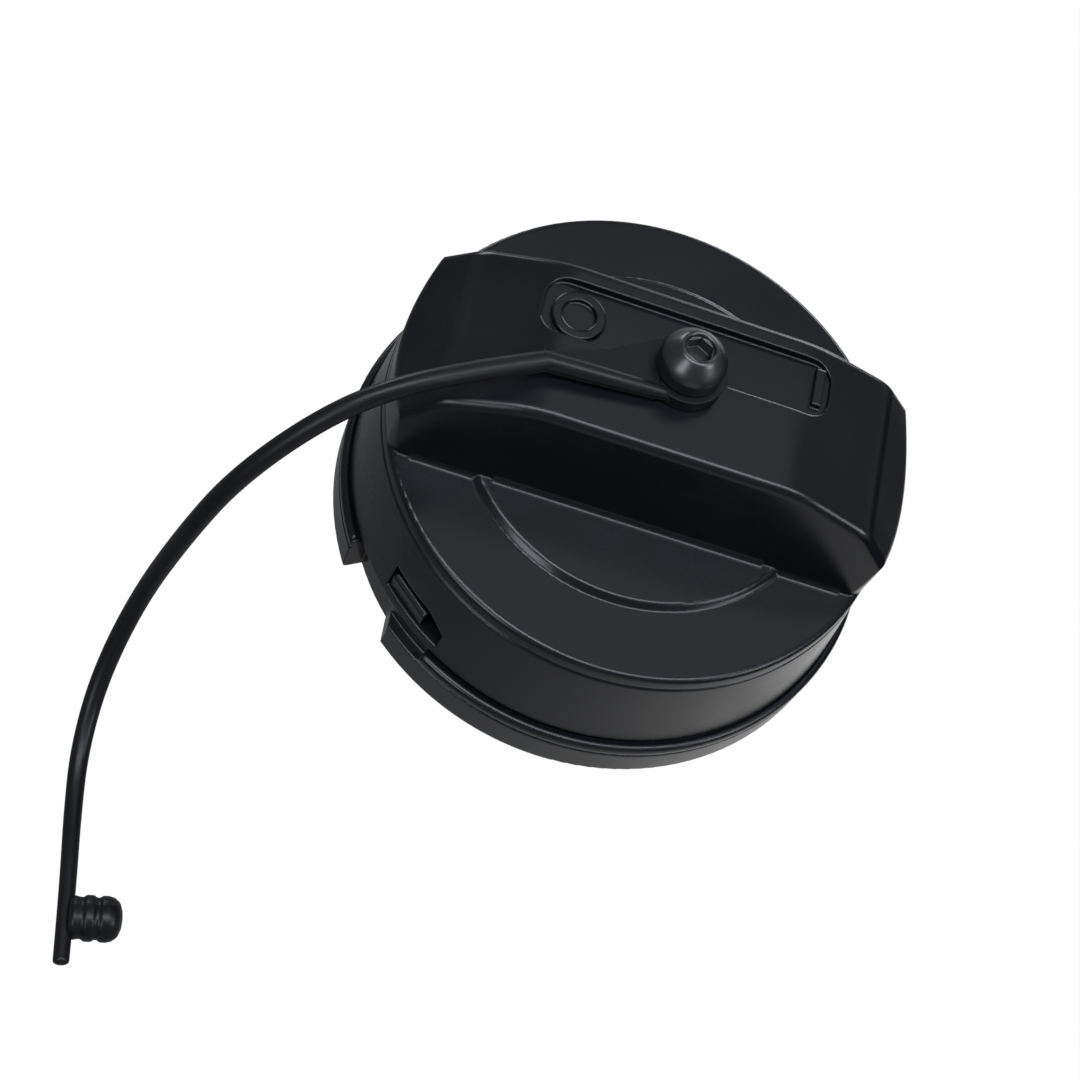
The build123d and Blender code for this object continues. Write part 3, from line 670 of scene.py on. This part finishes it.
tree.links.new(from_above, by_side.inputs[1])
tree.links.new(clear.outputs[0], by_side.inputs[2])
tree.links.new(by_side.outputs[0], tree.nodes["Material Output"].inputs["Surface"])
floor.data.materials.append(paper)
print("floor:", floor.name, "with", len(tree.nodes), "nodes")

# %% [markdown]
# The surround is the world's own colour. It is plain white to the camera, and glossy faces see
# only a quarter of that white, so that the black plastic stays black.

# %% Surround
mirrored_surround = 0.25
world = bpy.data.worlds.new("studio_surround")
bpy.context.scene.world = world
world.use_nodes = True
tree = world.node_tree
dim = tree.nodes["Background"]
dim.inputs["Color"].default_value = (0.12, 0.12, 0.13, 1.0)
seen_world = white_to_view(tree, dim.outputs[0], in_view=1.0, mirrored=mirrored_surround)
tree.links.new(seen_world, tree.nodes["World Output"].inputs["Surface"])
print("surround:", world.name, "with", len(tree.nodes), "nodes")

# %% [markdown]
# Black plastic shows lamps more than colour, so each lamp is placed for a reflection. The one
# behind gives the level faces their even sheen, the long strip overhead draws the bright lines
# along the rounded edges, the two at the sides light the skirt, and the low pair at the rear
# keeps the back readable. All six aim at the same point, so a direction and a size are enough to
# place one.

# %% Lamps
lamp_distance = 0.9
lamp_colour = (0.88, 0.92, 1.0)
lamp_aim = Vector((0.0, 0.0, 0.035))


def soft_lamp(name, direction, width, height, radiance):
    """Rectangular lamp that faces the middle of the cap. Its power follows from how bright it
    looks."""
    away = Vector(direction).normalized()
    bpy.ops.object.light_add(type="AREA", location=lamp_aim + away * lamp_distance)
    lamp = bpy.context.object
    lamp.name = name
    lamp.rotation_euler = away.to_track_quat("Z", "Y").to_euler()
    lamp.data.shape = "RECTANGLE"
    lamp.data.size = width
    lamp.data.size_y = height
    lamp.data.energy = radiance * math.pi * width * height
    lamp.data.color = lamp_colour


lamps = (    # name, direction from the aim, width, height, radiance
    ("lamp_back", (0.13, 0.43, 0.89), 0.44, 0.34, 1.4),
    ("lamp_front", (0.02, -0.19, 0.98), 1.10, 0.22, 18.0),
    ("lamp_left", (-0.50, -0.68, 0.52), 0.30, 0.30, 12.0),
    ("lamp_right", (0.80, -0.30, 0.52), 0.30, 0.30, 14.0),
    ("lamp_rear_left", (-0.46, 0.87, 0.18), 0.36, 0.24, 9.0),
    ("lamp_rear_right", (0.36, 0.92, 0.18), 0.36, 0.24, 9.0),
)
for lamp in lamps:
    soft_lamp(*lamp)
bpy.context.scene.view_settings.view_transform = "Standard"

# %% [markdown]
# A standing black card to the right of the cap keeps the pale surround's reflection off that
# side. A lamp can't do this, because light only adds. The camera doesn't see the card.

# %% Black card
bpy.ops.mesh.primitive_plane_add(size=1.0, location=(0.115, 0.03, 0.033))
flag = bpy.context.object
flag.name = "black_flag"
flag.scale = (0.065, 0.42, 1.0)
flag.rotation_euler = (0.0, math.radians(90), 0.0)
black_card = bpy.data.materials.new("black_card")
black_card.use_nodes = True
card_shader = black_card.node_tree.nodes["Principled BSDF"]
card_shader.inputs["Base Color"].default_value = (0.01, 0.01, 0.01, 1.0)
card_shader.inputs["Specular IOR Level"].default_value = 0.0
flag.data.materials.append(black_card)
flag.visible_camera = False
print("card:", flag.name, "hidden from the camera:", not flag.visible_camera)
